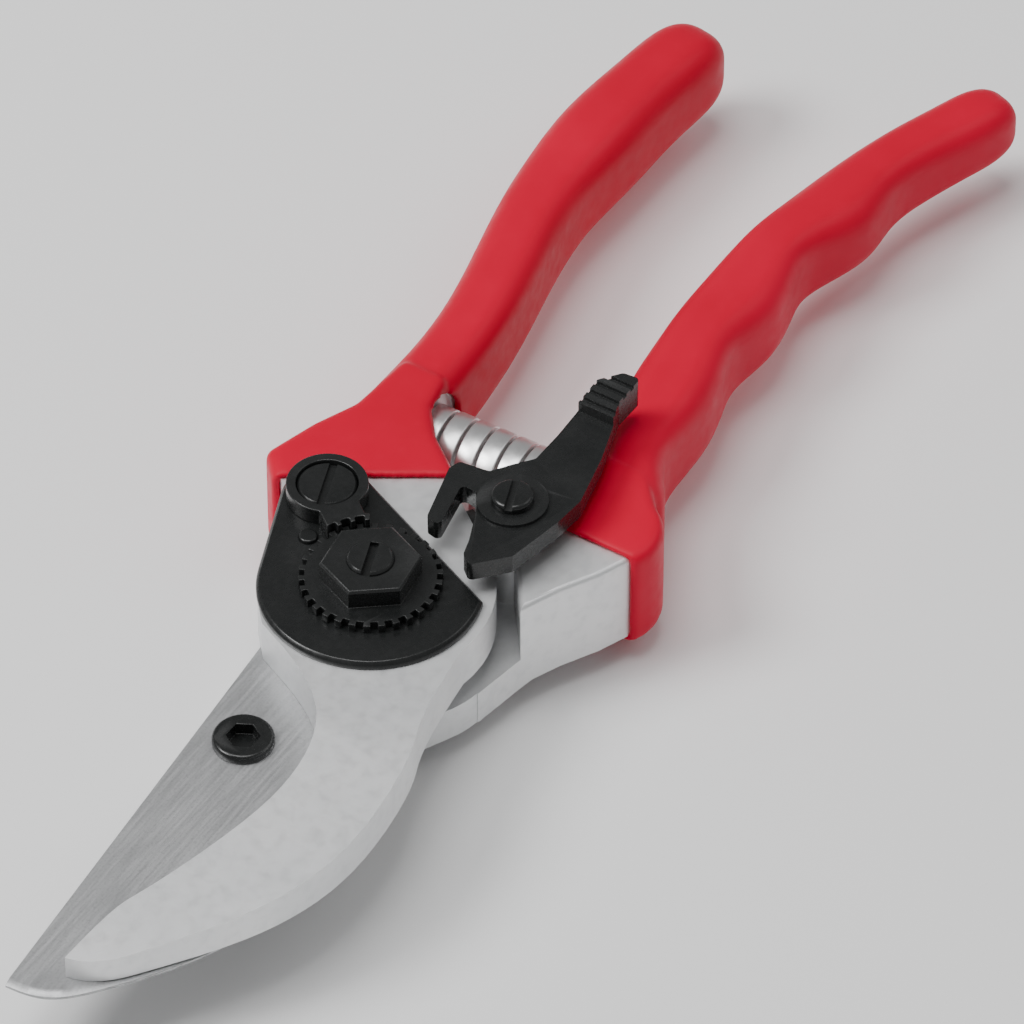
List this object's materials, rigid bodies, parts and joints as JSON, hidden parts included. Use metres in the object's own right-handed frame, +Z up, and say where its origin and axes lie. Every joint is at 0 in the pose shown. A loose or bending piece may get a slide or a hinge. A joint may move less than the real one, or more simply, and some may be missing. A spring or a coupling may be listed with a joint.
{
  "type": "bypass pruner",
  "caption": "Hand pruner with forged aluminium levers, red grips, a bolt-on blade, an adjustable pivot nut, a return spring and a thumb latch, lying closed.",
  "frame": {"origin": "on the pivot axis at the flat underside of the bolt's head", "axes": "+X from the pivot towards the handles, +Y towards the hook lever's side, +Z up through the stack from the bolt's head to the nut"},
  "size_m": [0.2145, 0.0591, 0.0267],
  "materials": {
    "forged_aluminium": "satin forged",
    "red_grip": "smooth dipped PVC",
    "blade_steel": "ground",
    "black_steel": "black oxide, lightly oiled",
    "spring_steel": "bright",
    "bronze": "machined",
    "rubber_black": "matt"
  },
  "bodies": {
    "blade_lever": {"blade_handle": "forged_aluminium", "blade_grip": "red_grip", "cutting_blade": "blade_steel", "blade_screw": "black_steel", "blade_dowel": "spring_steel", "pivot_bushing": "bronze", "blade_spring_peg": "spring_steel", "bumper": "rubber_black", "latch_screw": "black_steel", "latch_washer": "spring_steel", "return_spring": "spring_steel"},
    "hook_lever": {"hook_handle": "forged_aluminium", "hook_grip": "red_grip", "cover_plate": "black_steel", "pivot_nut": "black_steel", "lock_segment": "black_steel", "segment_screw": "black_steel", "segment_pin": "black_steel", "pivot_bolt": "black_steel", "bolt_washer": "black_steel", "hook_spring_peg": "spring_steel"},
    "latch": {"latch_lever": "black_steel"}
  },
  "joints": [
    {"name": "pivot", "type": "hinge", "parent": "blade_lever", "child": "hook_lever", "pos_m": [0, 0, 0.0107], "axis": [0, 0, 1], "range_deg": [0, 35], "deforming": ["return_spring"]},
    {"name": "latch_pivot", "type": "hinge", "parent": "blade_lever", "child": "latch", "pos_m": [0.0189, -0.0104, 0.0235], "axis": [0, 0, 1], "range_deg": [-28, 0]}
  ]
}
